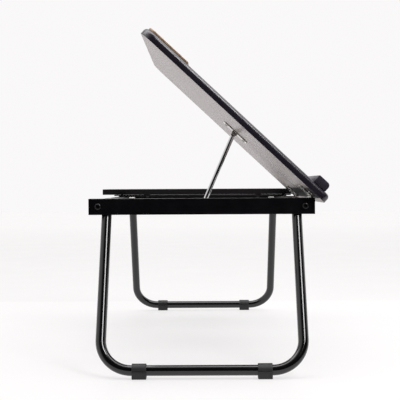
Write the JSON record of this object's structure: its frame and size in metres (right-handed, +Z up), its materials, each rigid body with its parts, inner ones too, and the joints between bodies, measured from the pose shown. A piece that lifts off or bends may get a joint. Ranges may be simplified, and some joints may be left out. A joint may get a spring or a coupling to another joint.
{
  "type": "folding laptop table",
  "caption": "Folding laptop table: angle-iron frame on folding U-legs, a tilting board on a prop rod with a stop bar, and a fixed side board.",
  "frame": {"origin": "on the floor, under the middle of the object's box", "axes": "+X to the user's side, +Y along the table to the user's right, +Z up"},
  "size_m": [0.4064, 0.8124, 0.5379],
  "materials": {
    "black_steel": "satin black powder coat",
    "tube_enamel": "gloss black enamel",
    "board_laminate": "board with a smooth laminate and a black edge",
    "side_board_laminate": "board with a smooth dark laminate",
    "stop_bar_plastic": "moulded, fine grain",
    "rear_plate_wood": "light brown wood grain",
    "nickel_plate": "bright nickel plate",
    "chrome_rod": "polished",
    "bolt_steel": "zinc plated",
    "foot_plastic": "moulded",
    "pad_rubber": "soft pale rubber",
    "bush_nylon": "turned nylon"
  },
  "bodies": {
    "frame": {"bar_rivet_front": "bolt_steel", "bar_rivet_rear": "bolt_steel", "board_bar": "black_steel", "board_screw_front_inner": "bolt_steel", "board_screw_front_right": "bolt_steel", "board_screw_rear_inner": "bolt_steel", "board_screw_rear_right": "bolt_steel", "board_spacer_front_inner": "foot_plastic", "board_spacer_front_right": "foot_plastic", "board_spacer_rear_inner": "foot_plastic", "board_spacer_rear_right": "foot_plastic", "corner_bolt_left_front": "bolt_steel", "corner_bolt_left_rear": "bolt_steel", "corner_bolt_right_front": "bolt_steel", "corner_bolt_right_rear": "bolt_steel", "front_rail": "black_steel", "hinge_frame_leaf_left": "nickel_plate", "hinge_frame_leaf_right": "nickel_plate", "hinge_pin_left": "bolt_steel", "hinge_pin_right": "bolt_steel", "left_side_rail": "black_steel", "notched_bar": "black_steel", "pivot_bolt_left_front": "bolt_steel", "pivot_bolt_left_rear": "bolt_steel", "pivot_bolt_right_front": "bolt_steel", "pivot_bolt_right_rear": "bolt_steel", "pivot_bush_left_front": "bush_nylon", "pivot_bush_left_rear": "bush_nylon", "pivot_bush_right_front": "bush_nylon", "pivot_bush_right_rear": "bush_nylon", "pivot_nut_left_front": "bolt_steel", "pivot_nut_left_rear": "bolt_steel", "pivot_nut_right_front": "bolt_steel", "pivot_nut_right_rear": "bolt_steel", "rail_pad_front": "pad_rubber", "rail_pad_rear": "pad_rubber", "rear_rail": "black_steel", "right_side_rail": "black_steel", "side_board": "side_board_laminate"},
    "tilt_top": {"hinge_board_leaf_left": "nickel_plate", "hinge_board_leaf_right": "nickel_plate", "prop_bracket": "nickel_plate", "prop_pin": "bolt_steel", "rear_plate": "rear_plate_wood", "stop_bar": "stop_bar_plastic", "stop_bar_screw_left": "bolt_steel", "stop_bar_screw_right": "bolt_steel", "tilting_board": "board_laminate"},
    "prop": {"prop_rod": "chrome_rod"},
    "left_leg": {"left_foot_front": "foot_plastic", "left_foot_rear": "foot_plastic", "left_leg_plug_front": "foot_plastic", "left_leg_plug_rear": "foot_plastic", "left_leg_tube": "tube_enamel"},
    "right_leg": {"right_foot_front": "foot_plastic", "right_foot_rear": "foot_plastic", "right_leg_plug_front": "foot_plastic", "right_leg_plug_rear": "foot_plastic", "right_leg_tube": "tube_enamel"}
  },
  "joints": [
    {"name": "board_tilt", "type": "hinge", "parent": "frame", "child": "tilt_top", "pos_m": [0.1828, 0, 0.2645], "axis": [0, -1, 0], "range_deg": [0, 43.1]},
    {"name": "prop_swing", "type": "hinge", "parent": "tilt_top", "child": "prop", "pos_m": [0.05774, -0.074, 0.37673], "axis": [0, 1, 0], "range_deg": [0, 109.93]},
    {"name": "left_leg_fold", "type": "hinge", "parent": "frame", "child": "left_leg", "pos_m": [0.0013, -0.271, 0.2475], "axis": [1, 0, 0], "range_deg": [0, 118]},
    {"name": "right_leg_fold", "type": "hinge", "parent": "frame", "child": "right_leg", "pos_m": [0.0013, 0.271, 0.2475], "axis": [-1, 0, 0], "range_deg": [0, 110]}
  ],
  "couplings": [
    {"joint": "prop_swing", "follows": "board_tilt", "ratio": 2.5437}
  ]
}
